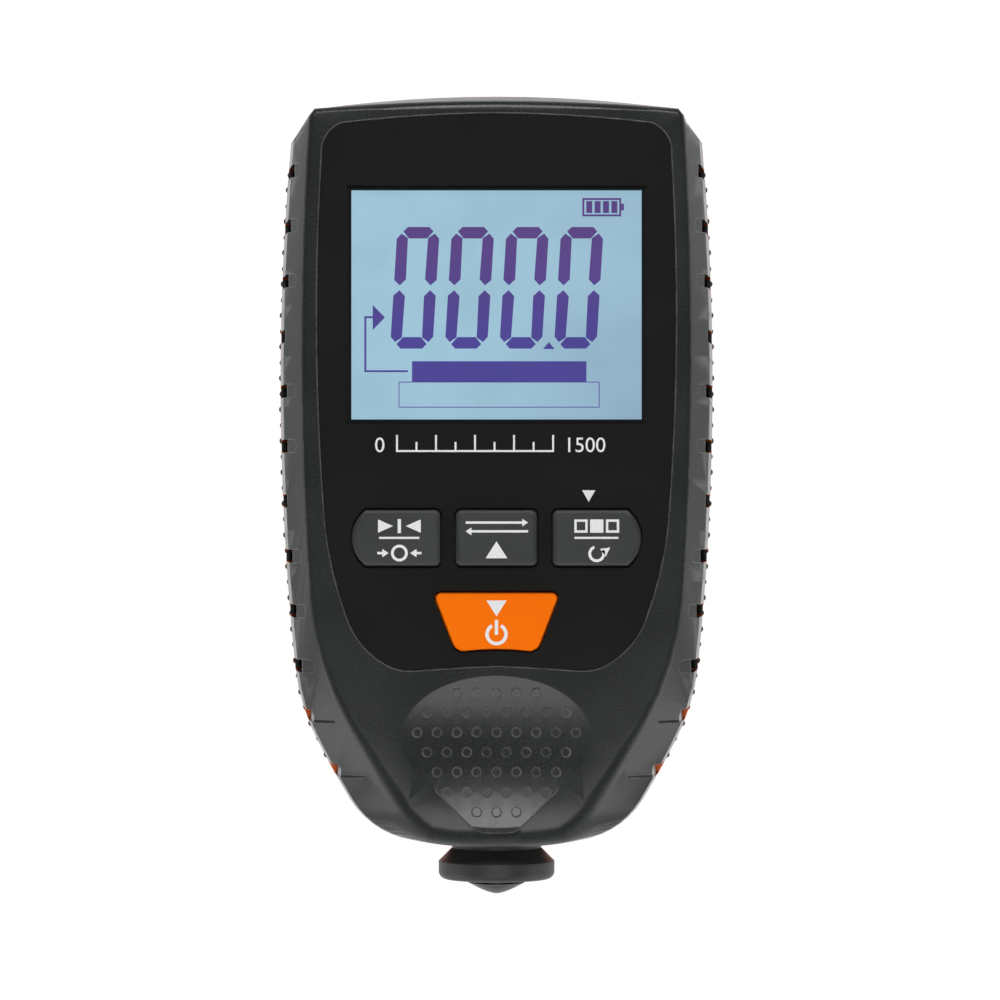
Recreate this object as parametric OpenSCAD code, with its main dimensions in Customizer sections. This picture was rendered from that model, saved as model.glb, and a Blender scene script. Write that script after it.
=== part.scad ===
// Coating thickness gauge, lying on its back with the face up.
// +X is to its right, +Y points away from the probe, +Z comes out of the face, and z = 0 is the back.

/* [Case] */
// Width of the case at its rim, without the side grips
case_w = 63.2; // [61:0.2:72]
// Height of the rim where the two shells meet
rim_z = 12.5; // [11.5:0.5:13.5]
// Wall of both shells
wall = 1.9; // [1.4:0.1:2.4]
// How far the side wall leans in between rim and bevel
side_lean = 0.9; // [0.5:0.05:2]
// Height of the bevel round the face
bevel_h = 4.8; // [3:0.1:6]
// Rounding of the edge between bevel and border
edge_r = 0.5; // [0.3:0.05:0.6]
// How many times softer that edge is at the bottom end
low_soft = 4; // [1:0.5:4]
// Distance from the middle of the power key to the bottom end
tail_l = 33.6; // [30:0.1:38]
// Height of the rounded edge of the back
back_round = 2.6; // [2:0.1:4]

/* [Grip notches] */
// Distance from the top end to the first notch
notch_first = 11.6; // [10:0.1:16]
// Distance from the bottom end to the last notch
notch_last = 11.28; // [9:0.02:16]
// Number of notches on each side
notch_count = 12; // [4:1:12]
// Width of a notch
notch_w = 1.9; // [1.2:0.1:3]
// Depth of the rounded recess on the bevel
notch_d = 0.3; // [0.1:0.05:0.8]
// Depth of the groove down the side wall
groove_d = 0.9; // [0.8:0.05:1.1]
// Number of notches at the bottom end that are narrow slits
slit_count = 2; // [0:1:4]
// Width of a slit
slit_w = 0.4; // [0.3:0.05:0.8]
// Depth of a slit
slit_d = 0.6; // [0.2:0.05:0.8]

/* [Side grips] */
// Height of a grip strip
grip_h = 7.6; // [6:0.2:8]
// Height of its lower edge above the back
grip_z = 3.6; // [3:0.1:4]
// How deep a strip is let into the case
grip_seat = 0.8; // [0.4:0.1:1.1]
// How far a strip stands out past the rim
grip_proud = 0; // [0:0.05:0.5]
// Distance from a strip's ends to the ends of the case
grip_end = 10.2; // [8:0.2:20]
// Distance between pips along a row
grip_pip_pitch = 4.6; // [3.6:0.1:8]
// Radius of a pip
grip_pip_r = 0.5; // [0.4:0.05:0.9]

/* [Face panel] */
// Thickness of the face panel
panel_t = 0.8; // [0.5:0.1:1]
// How far the panel lies below the border
panel_sunk = 0.1; // [0:0.05:0.4]
// Gap round the panel
panel_gap = 0.05; // [0.05:0.05:0.3]
// Front wall behind the panel
front_wall = 1.3; // [1:0.1:1.8]

/* [Display] */
// Width of the face panel that is left beside the display
view_edge = 4.78; // [4:0.02:8]
// Visible height of the display
view_h = 32.9; // [26:0.1:36]
// Distance from the top end to the top of the display
view_top = 14.6; // [13:0.05:18]
// Ledge that carries the lens round the window
lens_ledge = 0.6; // [0.4:0.1:0.8]
// Border of the glass behind the window
glass_border = 2.3; // [1.5:0.1:2.5]
// Thickness of the display glass
glass_t = 2.2; // [1.6:0.1:2.6]
// Thickness of the light guide
guide_t = 2.8; // [2:0.1:3]
// Gap between light guide and board
guide_gap = 2; // [1.5:0.1:4]
// Wall of the holder frame
frame_wall = 1.2; // [0.8:0.1:1.4]

/* [Keys] */
// Height of a key in the row, along the gauge
key_h = 8; // [6:0.1:8.5]
// Half width of the middle key
mid_key_hw = 5.83; // [5:0.01:6]
// Gap between two keys in the row
key_space = 2.15; // [2.1:0.05:3]
// Width of the face panel that is left beside a side key
side_key_edge = 3.5; // [3:0.1:7]
// How far a side key's end bulges out
side_key_bulge = 1.9; // [0.5:0.1:2]
// Distance from the bottom of the display to the middle of the key row
key_drop = 16.9; // [15:0.1:20]
// Width of the power key at its top edge
power_w = 18; // [14:0.2:20]
// Width of the power key at its bottom edge
power_low_w = 11.6; // [9:0.2:14]
// Height of the power key, along the gauge
power_h = 8.3; // [6:0.1:9]
// Distance from the key row to the middle of the power key
power_drop = 12; // [11.5:0.1:13]
// How far the keys stand out of the border
key_proud = 1.1; // [0.8:0.1:2]
// Travel of a key
key_travel = 0.6; // [0.3:0.05:0.7]
// Gap round a key
key_gap = 0.25; // [0.15:0.05:0.4]
// Width of the flange that holds a key in
key_flange = 0.7; // [0.4:0.05:0.75]

/* [Thumb rest] */
// Distance from the bottom end to the middle of the scoop
scoop_y = 16.95; // [16.5:0.05:18]
// Half width of the scoop
scoop_hw = 13.6; // [10:0.1:14]
// Half height of the scoop
scoop_hh = 8.95; // [7:0.05:9.5]
// Depth of the scoop
scoop_d = 1.05; // [0.6:0.05:1.2]
// Height of the raised lip below the scoop
lip_h = 1.1; // [0.3:0.05:1.1]
// Distance from the bottom end to the lip's tip
lip_low = 3.45; // [3.2:0.05:5]
// Distance between pips
pip_pitch = 2.84; // [2.6:0.01:3]
// Radius of a pip
pip_r = 0.7; // [0.4:0.02:0.9]
// Height of a pip
pip_h = 0.3; // [0.15:0.05:0.5]

/* [Probe] */
// How far the probe stands out of the case
probe_out = 6.5; // [6:0.1:8]
// Radius of the collar
collar_r = 8.47; // [8:0.01:8.6]
// Height of the collar's straight band
collar_band = 2.6; // [1.5:0.1:3]
// Radius of the neck that slides in the guide
neck_r = 6.5; // [6:0.1:6.8]
// Radius of the tip where it leaves the collar
tip_r = 4.1; // [3.5:0.1:4.8]
// How far the tip stands out of the collar
tip_dome = 2.2; // [1.5:0.1:2.4]
// Travel of the probe
probe_travel = 1.5; // [0.5:0.1:1.8]
// Length of the guide bush
bush_l = 8.8; // [8:0.2:10]
// Wall of the guide bush
bush_wall = 2; // [1.5:0.1:2.4]
// Free length of the return spring as fitted
spring_l = 9.6; // [8:0.2:10.5]

/* [Battery] */
// Radius of a cell
cell_r = 5.25; // [5.2:0.01:5.3]
// Length of a cell with its nub
cell_l = 44.5; // [44:0.1:45]
// Thickness of the battery door
door_t = 1.8; // [1.4:0.1:2]
// Length of a contact spring as fitted
contact_l = 5.1; // [4:0.1:6]
// Wall of the battery box
box_wall = 1.2; // [0.8:0.1:1.4]

/* [Board] */
// Gap between the main board and the side walls
board_edge = 3.8; // [2:0.05:5]
// Room for chips between the battery box and the board
chip_room = 1.9; // [1.5:0.1:6]
// Thickness of the main board
board_t = 1.6; // [1:0.1:1.8]
// Height of a switch body
switch_h = 3.4; // [3:0.1:3.6]
// Width of a switch body
switch_w = 6; // [5:0.1:6.5]

/* [Fits] */
// Gap round a cell, a door edge or another loose fit
loose = 0.3; // [0.2:0.05:0.4]
// Gap in a sliding fit
slide = 0.1; // [0.05:0.01:0.2]
// Gap between pieces that sit tight together
snug = 0.05; // [0.02:0.01:0.1]

/* [Hidden] */
$fn = 48;
past = 1;    // how far a cut runs past the face that it cuts
bite = 0.5;  // how far a rib, boss or stem runs into the wall that carries it

// Battery box: the cells lie along Y, with opposite ends up, and set the depth of the case
back_wall = 2;
door_sunk = 0.2;
door_top = door_sunk + door_t;
cell_x = cell_r + loose;
cell_z = door_top + loose + cell_r;
box_hw = cell_x + cell_r + loose;
box_top = cell_z + cell_r + loose;

// Levels from the battery box up to the face
board_z = box_top + box_wall + chip_room;
board_top = board_z + board_t;
guide_z = board_top + guide_gap;
glass_z = guide_z + guide_t;
ceiling_z = glass_z + glass_t;
panel_z = ceiling_z + front_wall;
case_t = panel_z + panel_t + panel_sunk;
bevel_z = case_t - bevel_h;

// Places along the case, from the top end down
half_w = case_w / 2;
case_l = view_top + view_h + key_drop + power_drop + tail_l;
top_y = (case_l + probe_out) / 2;
low_y = top_y - case_l;
lcd_y = top_y - view_top - view_h / 2;
row_y = lcd_y - view_h / 2 - key_drop;
power_y = row_y - power_drop;

// Outlines of the right half, from the middle of the top end to the middle of the bottom end.
// A row is a point, the rise of the arc from it to the next point and that arc's number of pieces:
// x is a share of the half width, y the share of the length below the top end, the rise a share of the width.
rim_half = placed([
    [0, 0, 0.0071, 6],
    [0.8165, 0.0159, 0.004, 2],
    [0.951, 0.0614, 0.029, 12],
    [0.932, 0.7568, 0.0089, 4],
    [0.8228, 0.8586, 0.0016, 2],
    [0.6772, 0.9341, 0.0138, 6],
    [0.4399, 0.985, 0.0066, 5],
    [0, 1, 0, 1]
]);
ridge_half = placed([
    [0, 0.0195, 0.0043, 6],
    [0.8196, 0.0295, 0.004, 2],
    [0.8449, 0.0459, 0.0182, 12],
    [0.8386, 0.6659, 0.0158, 4],
    [0.6677, 0.8259, 0.0016, 2],
    [0.4399, 0.935, 0.0055, 6],
    [0.3006, 0.9741, 0.004, 5],
    [0, 0.9805, 0, 1]
]);
panel_half = placed([
    [0, 0.0341, 0.0047, 6],
    [0.6994, 0.0468, 0.0142, 8],
    [0.788, 0.0868, 0.0134, 10],
    [0.7785, 0.5477, 0.0087, 5],
    [0.6804, 0.6841, 0.0142, 6],
    [0.5, 0.7495, 0.0055, 5],
    [0.3639, 0.7573, -0.0009, 3],
    [0, 0.7509, 0, 1]
]);
rim = both_sides(rim_half);
ridge = both_sides(ridge_half);

function placed(rows) = [
    for (r = rows) [r[0] * half_w, top_y - r[1] * case_l, r[2] * case_w, r[3]]
];

// Points of an arc from p towards q that rises to the left of the way, without q itself
function arc_points(p, q, rise, pieces) =
    let (
        way = q - p,
        chord = norm(way),
        along = way / chord,
        side = [-along.y, along.x],
        half = 2 * atan(2 * rise / chord),
        r = chord / (2 * sin(half)),
        centre = (p + q) / 2 - side * r * cos(half)
    )
    [for (i = [0 : pieces - 1])
        let (a = half * (2 * i / pieces - 1))
        centre + r * (side * cos(a) + along * sin(a))];

function at(row) = [row[0], row[1]];

// Points from one row of an outline towards the next
function piece_points(row, next) = row[2] == 0 ? [at(row)] : arc_points(at(row), at(next), row[2], row[3]);

// Points along the rows of an outline, as far as its last row
function row_points(rows) = [
    for (i = [0 : len(rows) - 2]) each piece_points(rows[i], rows[i + 1]),
    at(rows[len(rows) - 1])
];

// Closed loop of points along rows that go round clockwise
function loop_points(rows) = [
    for (i = [0 : len(rows) - 1]) each piece_points(rows[i], rows[(i + 1) % len(rows)])
];

// Rise of the arc that rounds a corner of the given angle, cut back by the same length on both sides
function corner_rise(cut, angle) = cut * tan(angle / 2) * (1 - sin(angle / 2));

// A clockwise loop moved out on all sides, point for point
function grown(points, out) = let (n = len(points)) [
    for (i = [0 : n - 1])
        let (
            before = points[i] - points[(i + n - 1) % n],
            after = points[(i + 1) % n] - points[i],
            u = [-before.y, before.x] / norm(before),
            v = [-after.y, after.x] / norm(after)
        )
        points[i] + out * (u + v) / (1 + u * v)
];

// Closed outline from its right half
function both_sides(half) = let (p = row_points(half), n = len(p)) concat(
    p, [for (i = [n - 2 : -1 : 1]) [-p[i].x, p[i].y]]
);

// Half width of an outline at height y on its side
function side_x(half, y) = lookup(y, [for (p = row_points(half)) if (p.x > 1) [p.y, p.x]]);

module outline(half, out = 0) {
    polygon(grown(both_sides(half), out));
}

// The points of a loop, moved out and put at a height
function ring(points, out, z) = [for (p = grown(points, out)) [p.x, p.y, z]];

// The points of the ridge moved out, and down from the border, both more so towards the bottom end
function soft_ridge(out, down) = let (outer = grown(ridge, 1)) [
    for (i = [0 : len(ridge) - 1])
        let (
            p = ridge[i],
            soft = 1 + (low_soft - 1) * max(0, power_y - p.y) / (power_y - low_y),
            q = p + out * soft * (outer[i] - p)
        )
        [q.x, q.y, case_t - down * soft]
];

// A solid through rings of equally many points, from the lowest ring up
module loft(rings) {
    n = len(rings[0]);
    top = len(rings) - 1;
    faces = concat(
        [[for (k = [n - 1 : -1 : 0]) k]],
        [for (i = [0 : top - 1], k = [0 : n - 1])
            let (p = i * n + k, q = i * n + (k + 1) % n)
            each [[p, q, q + n], [p, q + n, p + n]]],
        [[for (k = [0 : n - 1]) top * n + k]]
    );
    polyhedron([for (r = rings) each r], faces);
}

module block(x0, x1, y0, y1, z0, z1) {
    translate([x0, y0, z0]) cube([x1 - x0, y1 - y0, z1 - z0]);
}

// A cylinder along +Y from y0 to y1 on the probe's axis
module along_probe(r, y0, y1) {
    translate([0, y0, rim_z]) rotate([-90, 0, 0]) cylinder(r = r, h = y1 - y0);
}

// A revolved profile of [radius, y] points on the probe's axis
module turned(profile) {
    translate([0, 0, rim_z]) rotate([-90, 0, 0]) rotate_extrude() polygon(profile);
}

module on_both_sides() {
    children();
    mirror([1, 0, 0]) children();
}

// Case screws: two beside the battery box, two beside the probe
boss_r = 3.2;
screw_r = 1.25;
screw_l = 14;
head_r = 2.3;
head_h = 1.6;
head_z = 3;
pilot_more = 1;
case_screw_xy = [[0.617 * half_w, top_y - 2 * boss_r], [0.4905 * half_w, low_y + 4.3 * boss_r]];
pilot_top = head_z + screw_l + pilot_more;

// Display
view_w = 2 * (side_x(panel_half, lcd_y) - view_edge);
lens_w = view_w + 2 * lens_ledge;
lens_h = view_h + 2 * lens_ledge;
glass_w = view_w + 2 * glass_border;
glass_h = view_h + 2 * glass_border;
guide_w = glass_w - glass_border;
guide_h = glass_h - 1.5 * glass_border;
frame_hw = glass_w / 2 + snug + frame_wall;
frame_hh = glass_h / 2 + snug + frame_wall;
strip_t = 1.1;
strip_w = view_w - 1.5;
strip_y = lcd_y - glass_h / 2 + strip_t / 2 + 2 * snug;

// Keys
key_top = case_t + key_proud;
flange_t = 1.1;
flange_top = ceiling_z - snug;
stem_r = 1.5;
plunger_r = 1.65;
switch_top = board_top + switch_h;
plunger_up = 0.8;
plunger_in = 1.2;
power_corner = 1.1;
power_arch = 0.3;
side_key_x = mid_key_hw + key_space;
side_key_x1 = side_x(panel_half, row_y) - side_key_edge - side_key_bulge;
zero_x = -(side_key_x + side_key_x1 + side_key_bulge) / 2;
key_corner = 0.8;
key_crown = 0.5;
row_y1 = row_y + key_h / 2;
row_y0 = row_y - key_h / 2;
square_rise = corner_rise(key_corner, 90);
unit_shape = loop_points([
    [key_corner - mid_key_hw, row_y1, 0], [mid_key_hw - key_corner, row_y1, square_rise, 6],
    [mid_key_hw, row_y1 - key_corner, 0], [mid_key_hw, row_y0 + key_corner, square_rise, 6],
    [mid_key_hw - key_corner, row_y0, 0], [key_corner - mid_key_hw, row_y0, square_rise, 6],
    [-mid_key_hw, row_y0 + key_corner, 0], [-mid_key_hw, row_y1 - key_corner, square_rise, 6]
]);
mode_shape = loop_points([
    [side_key_x + key_corner, row_y1, 0], [side_key_x1, row_y1, side_key_bulge, 8],
    [side_key_x1, row_y0, 0], [side_key_x + key_corner, row_y0, square_rise, 6],
    [side_key_x, row_y0 + key_corner, 0], [side_key_x, row_y1 - key_corner, square_rise, 6]
]);
zero_shape = [for (i = [len(mode_shape) - 1 : -1 : 0]) [-mode_shape[i].x, mode_shape[i].y]];
power_y1 = power_y + power_h / 2;
power_y0 = power_y - power_h / 2;
power_slant = atan2((power_w - power_low_w) / 2, power_h);
slant_x = power_corner * sin(power_slant);
slant_y = power_corner * cos(power_slant);
top_rise = corner_rise(power_corner, 90 - power_slant);
low_rise = corner_rise(power_corner, 90 + power_slant);
power_shape = loop_points([
    [power_corner - power_w / 2, power_y1, 0], [power_w / 2 - power_corner, power_y1, top_rise, 8],
    [power_w / 2 - slant_x, power_y1 - slant_y, 0],
    [power_low_w / 2 + slant_x, power_y0 + slant_y, low_rise, 5],
    [power_low_w / 2 - power_corner, power_y0, -power_arch, 4],
    [power_corner - power_low_w / 2, power_y0, low_rise, 5],
    [-power_low_w / 2 - slant_x, power_y0 + slant_y, 0],
    [slant_x - power_w / 2, power_y1 - slant_y, top_rise, 8]
]);

// Thumb rest: the scoop is the outer rim of a large ring
scoop_mid = low_y + scoop_y;
scoop_tube = (scoop_hh * scoop_hh + scoop_d * scoop_d) / (2 * scoop_d);
scoop_reach = (scoop_hw * scoop_hw + scoop_d * scoop_d) / (2 * scoop_d);
scoop_ring = scoop_reach - scoop_tube;
scoop_z = case_t - scoop_d + scoop_reach;
lip_flat = 2.5;
lip_shoulder = 4.2;
lip_corner = 2.2;
pip_rows = [5, 8, 9, 8, 7, 6, 3];
pip_edge = 2.45;
pip_first = scoop_mid + scoop_hh - pip_edge;

// Height of the scoop's surface above the back
function scoop_at(x, y) =
    let (
        dy = y - scoop_mid,
        ring = scoop_ring + sqrt(scoop_tube * scoop_tube - dy * dy)
    )
    min(case_t + lip_h, scoop_z - sqrt(ring * ring - x * x));

// Probe stations along Y
tip_y = -top_y;
collar_y0 = tip_y + tip_dome;
band_y1 = collar_y0 + collar_band;
cone_y1 = band_y1 + collar_r - neck_r;
opening_r = collar_r + loose + slide;
collar_stop = 0.88;  // gap left behind the cone at full travel
bush_y0 = cone_y1 + probe_travel + collar_stop;
bush_y1 = bush_y0 + bush_l;
bush_r = neck_r + slide + bush_wall;
flange_r = bush_r + 1.3;
flange_y0 = bush_y0 + 2.65;
flange_w = 1.4;
rib_t = 1.5;
rib_hw = 11.5;
ring_t = 1;
ring_y0 = bush_y1 + snug;
groove_r = neck_r - 0.6;
neck_y1 = ring_y0 + ring_t + 0.85;
seat_y = neck_y1 + snug + spring_l;
seat_hole_r = 2;

// Main board, from the top of the display to the rib behind the probe's spring
board_hw = half_w - side_lean - wall - board_edge;
board_top_gap = 9.9;
board_low_gap = 2.45;
board_taper = 7;
chip_t = 1.2;
chip_gap = 1.2;
controller_w = 10;
signal_w = 5;
signal_l = 6;
board_y1 = top_y - board_top_gap;
board_y0 = seat_y + rib_t + board_low_gap;
post_r = 2.3;
board_screw_r = 0.9;
board_screw_l = 5;
board_head_r = 1.8;
board_head_h = 1.2;
board_screw_xy = [
    [board_hw - 1.3 * post_r, (lcd_y - frame_hh + row_y + key_h / 2) / 2],
    [board_hw - 1.5 * board_taper, power_y - board_screw_r]
];

// Tip, core and coil
neck_bore = tip_r + snug;
plug_l = 2.6;
core_r = 1.6;
former_y0 = collar_y0 + plug_l + snug;
former_l = 9;
former_y1 = former_y0 + former_l;
former_wall = 0.5;
former_flange = 0.8;
winding_inset = 0.45;
winding_r = neck_bore - winding_inset;
wire_r = 0.4;

// Route of the lead from the coil to the underside of the board
lead_r = 0.5;
lead_end = 5 * lead_r;
lead_points = [
    [0, former_y1 + snug, rim_z], [0, (former_y1 + neck_y1) / 2, rim_z], [0, neck_y1, rim_z],
    [0, (neck_y1 + seat_y) / 2, rim_z], [0, seat_y + rib_t, rim_z],
    [0, board_y0 - lead_r, rim_z + 0.15 * (board_z - rim_z)],
    [0, board_y0 + 0.6 * lead_end, rim_z + 0.45 * (board_z - rim_z)],
    [0, board_y0 + lead_end, board_z - 2 * lead_r], [0, board_y0 + lead_end, board_z - snug]
];

// Lengths of the battery box and its door
plate_t = 0.4;
box_end_gap = 0.75;
box_y1 = top_y - wall - box_wall - box_end_gap;
box_y0 = box_y1 - cell_l - contact_l - 2 * plate_t;
door_hw = box_hw + 0.8;
door_y0 = box_y0 - 1.4;
tongue_w = 1;
tongue_t = 0.8;
lip_t = door_top - tongue_t - loose / 2;
rail_hw = door_hw + loose + tongue_w + box_wall;
nub_r = 2.2;
nub_l = 1;
tail_w = 3;
contact_hw = 4;
contact_wire_r = 0.35;

// Notches, from the top end down
wide_count = notch_count - slit_count;
notch_pitch = (case_l - notch_first - notch_last) / (notch_count - 1);
tooth_hw = notch_w / 3;
tooth_up = 1;

function notch_y(i) = top_y - notch_first - i * notch_pitch;

// Shells

module cover_outer() {
    loft([
        ring(rim, 0, rim_z), ring(rim, -side_lean, bevel_z), soft_ridge(edge_r / 2, edge_r),
        soft_ridge(0, edge_r / 3), soft_ridge(-edge_r, 0)
    ]);
}

module cover_cavity() {
    loft([
        ring(rim, -wall, rim_z - past), ring(rim, -wall, rim_z),
        ring(rim, -side_lean - wall, bevel_z), ring(ridge, -wall / 3, ceiling_z)
    ]);
}

// One notch on the right side: a round-ended recess on the bevel, and a groove down the wall that starts at the
// recess's lower edge
module notch(y, w, d, groove) {
    rim_x = side_x(rim_half, y);
    bevel_x = rim_x - side_lean;
    run = bevel_x - side_x(ridge_half, y);
    slope = atan2(bevel_h, run);
    reach = 0.6 * norm([bevel_h, run]);
    r = w / 2;
    inner = r - reach;
    recess = concat(arc_points([inner, -r], [inner, r], r, 10), [[inner, r], [past, r], [past, -r]]);
    translate([bevel_x, y, bevel_z]) rotate([0, slope, 0]) translate([0, 0, -d])
        linear_extrude(d + past) polygon(recess);
    lean = atan2(side_lean, bevel_z - rim_z);
    translate([rim_x - groove, y - r, rim_z]) rotate([0, -lean, 0])
        block(0, groove + past, 0, notch_w, -past, bevel_z - rim_z + d);
}

module notches() {
    on_both_sides() {
        for (i = [0 : 1 : wide_count - 1]) notch(notch_y(i), notch_w, notch_d, groove_d);
        for (i = [wide_count : 1 : notch_count - 1]) notch(notch_y(i), slit_w, slit_d, slit_w);
    }
}

// The ring whose outer rim leaves the scoop, and the tongue that the scoop runs out on
module scoop() {
    depth = scoop_d + lip_h + 2 * past;
    translate([0, scoop_mid, scoop_z]) rotate([90, 0, 0]) rotate_extrude() intersection() {
        translate([scoop_ring, 0]) circle(r = scoop_tube, $fn = 96);
        translate([scoop_reach - depth, -scoop_tube]) square([2 * depth, 2 * scoop_tube]);
    }
}

module lip() {
    translate([0, 0, case_t - front_wall]) linear_extrude(front_wall + lip_h)
        offset(r = lip_corner, $fn = 24) offset(delta = -lip_corner) polygon([
            [-0.9 * scoop_hw, scoop_mid - lip_shoulder], [0.9 * scoop_hw, scoop_mid - lip_shoulder],
            [lip_flat, low_y + lip_low], [-lip_flat, low_y + lip_low]
        ]);
}

// Studs in staggered rows over the scoop, square to its surface
module pips() {
    sink = 0.3;
    edge = pip_h / 3;
    for (i = [0 : len(pip_rows) - 1], k = [0 : pip_rows[i] - 1]) {
        x = (k - (pip_rows[i] - 1) / 2) * pip_pitch;
        y = pip_first - i * pip_pitch;
        translate([x, y, scoop_at(x, y)])
            rotate([asin((y - scoop_mid) / scoop_tube), -asin(x / scoop_reach), 0])
                translate([0, 0, -sink]) {
                    cylinder(r = pip_r, h = sink + pip_h - edge);
                    translate([0, 0, sink + pip_h - edge]) cylinder(r1 = pip_r, r2 = pip_r - edge, h = edge);
                }
    }
}

// Ribs that hold the guide bush and take the spring, from z0 to z1
module probe_ribs(z0, z1) {
    for (y = [flange_y0 - snug - rib_t, flange_y0 + flange_w + snug])
        block(-rib_hw, rib_hw, y, y + rib_t, z0, z1);
    block(-rib_hw, rib_hw, seat_y, seat_y + rib_t, z0, z1);
}

// Everything that the probe needs cut out of both shells
module probe_cuts() {
    along_probe(opening_r, low_y - past, low_y + wall + past);
    along_probe(bush_r + snug, low_y + wall, seat_y - past);
    along_probe(seat_hole_r, seat_y - past, seat_y + rib_t + past);
}

// The pocket for the face panel, with a fine chamfer round its edge
module panel_pocket() {
    shape = both_sides(panel_half);
    chamfer = 0.15;
    loft([
        ring(shape, 0, panel_z), ring(shape, 0, case_t - chamfer), ring(shape, chamfer + past, case_t + past)
    ]);
}

module front_cover() {
    color("#3c3e3e") {
        difference() {
            union() {
                difference() {
                    cover_outer();
                    cover_cavity();
                }
                lip();
                on_both_sides() {
                    for (p = case_screw_xy)
                        translate([p.x, p.y, rim_z]) cylinder(r = boss_r, h = ceiling_z - rim_z + bite);
                    for (p = board_screw_xy)
                        translate([p.x, p.y, board_top])
                            cylinder(r = post_r, h = ceiling_z - board_top + bite);
                }
                probe_ribs(rim_z, ceiling_z + bite);
            }
            panel_pocket();
            block(-view_w / 2, view_w / 2, lcd_y - view_h / 2, lcd_y + view_h / 2, ceiling_z - past, case_t);
            translate([0, 0, ceiling_z - past]) linear_extrude(case_t - ceiling_z + past) key_openings();
            notches();
            scoop();
            probe_cuts();
            on_both_sides() {
                for (p = case_screw_xy)
                    translate([p.x, p.y, rim_z - past])
                        cylinder(r = screw_r + snug / 2, h = pilot_top - rim_z + past);
                for (p = board_screw_xy)
                    translate([p.x, p.y, board_top - past])
                        cylinder(r = board_screw_r + snug / 2, h = board_screw_l - board_t + 2 * past);
            }
        }
        pips();
    }
}

module rear_outer() {
    loft([
        ring(rim, -0.85 * back_round, 0), ring(rim, -0.44 * back_round, 0.25 * back_round),
        ring(rim, -0.25 * back_round, 0.55 * back_round), ring(rim, -0.13 * back_round, back_round),
        ring(rim, 0, rim_z)
    ]);
}

module rear_cavity() {
    loft([
        ring(rim, -wall - 0.4 * back_round, back_wall),
        ring(rim, -wall - 0.13 * back_round, back_wall + back_round),
        ring(rim, -wall, rim_z), ring(rim, -wall, rim_z + past)
    ]);
}

// Side strip between two offsets of the rim, on the right
module side_strip(inner, outer, y0, y1) {
    intersection() {
        difference() {
            outline(rim_half, outer);
            outline(rim_half, inner);
        }
        translate([0, y0]) square([case_w, y1 - y0]);
    }
}

// The door's plate and tongues, made larger by a gap for the slot it slides in
module door_slot(gap, y0, y1) {
    block(-door_hw - gap, door_hw + gap, y0, y1, -past, door_top + gap / 2);
    block(-door_hw - tongue_w - gap, door_hw + tongue_w + gap, y0, y1,
        lip_t + loose / 2 - gap / 2, door_top + gap / 2);
}

module rear_case() {
    color("#f0710f") difference() {
        union() {
            difference() {
                rear_outer();
                rear_cavity();
            }
            difference() {
                union() {
                    block(-box_hw - box_wall, box_hw + box_wall, box_y0 - box_wall, box_y1 + box_wall,
                        door_top, box_top + box_wall);
                    block(-rail_hw, rail_hw, door_y0 - box_wall, box_y1 + box_wall, back_wall / 2,
                        door_top + loose + box_wall);
                }
                block(-box_hw, box_hw, box_y0, box_y1, -past, box_top);
            }
            on_both_sides()
                for (p = case_screw_xy)
                    translate([p.x, p.y, back_wall / 2]) cylinder(r = boss_r, h = rim_z - back_wall / 2);
            probe_ribs(back_wall / 2, rim_z);
        }
        door_slot(loose, door_y0 - loose / 2, top_y + past);
        on_both_sides() {
            translate([0, 0, grip_z - snug]) linear_extrude(grip_h + 2 * snug)
                side_strip(-grip_seat - snug, past, low_y + grip_end - snug, top_y - grip_end + snug);
            grip_teeth(snug, past);
            for (p = case_screw_xy) {
                translate([p.x, p.y, -past]) cylinder(r = head_r + loose, h = head_z + past);
                translate([p.x, p.y, 0]) cylinder(r = screw_r + slide, h = rim_z + past);
            }
        }
        probe_cuts();
        for (x = [-cell_x, cell_x])
            block(x - tail_w / 2 - loose, x + tail_w / 2 + loose, box_y0 - loose, box_y0 + plate_t + loose,
                box_top - past, box_top + box_wall + past);
    }
}

// Teeth of the right grip that fill the notches, made larger by a gap for their slots in the rear case
module grip_teeth(gap, outer) {
    for (i = [0 : 1 : wide_count - 1])
        let (y = notch_y(i), x = side_x(rim_half, y))
            block(x - 0.8 * groove_d - gap, x + outer, y - tooth_hw - gap, y + tooth_hw + gap,
                grip_z + grip_h - bite, rim_z + tooth_up);
}

// Grip strip on the right with staggered pips in four rows
module grip() {
    grip_teeth(0, -slide);
    translate([0, 0, grip_z]) linear_extrude(grip_h)
        side_strip(-grip_seat, grip_proud, low_y + grip_end, top_y - grip_end);
    span = case_l - 2 * grip_end - 3 * grip_pip_r;
    count = floor(span / grip_pip_pitch);
    for (row = [0 : 3], k = [0 : count - 1]) {
        y = top_y - grip_end - 2 * grip_pip_r - (k + (row % 2) / 2) * grip_pip_pitch;
        z = grip_z + (row + 0.5) * grip_h / 4;
        translate([side_x(rim_half, y) + grip_proud - grip_pip_r * 0.25, y, z]) sphere(r = grip_pip_r);
    }
}

module right_grip() {
    color("#1e1f20") grip();
}

module left_grip() {
    color("#1e1f20") mirror([1, 0, 0]) grip();
}

// Face

module front_panel() {
    shape = both_sides(panel_half);
    color("#202120") difference() {
        loft([ring(shape, -panel_gap, panel_z), ring(shape, -panel_gap, panel_z + panel_t)]);
        translate([0, 0, panel_z - past]) linear_extrude(panel_t + 2 * past) {
            translate([0, lcd_y]) square([lens_w + 2 * snug, lens_h + 2 * snug], center = true);
            key_openings();
        }
    }
}

module display_lens() {
    color("#c8dce6", 0.4) block(-lens_w / 2, lens_w / 2, lcd_y - lens_h / 2, lcd_y + lens_h / 2,
        panel_z, panel_z + panel_t);
}

// Display

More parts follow.
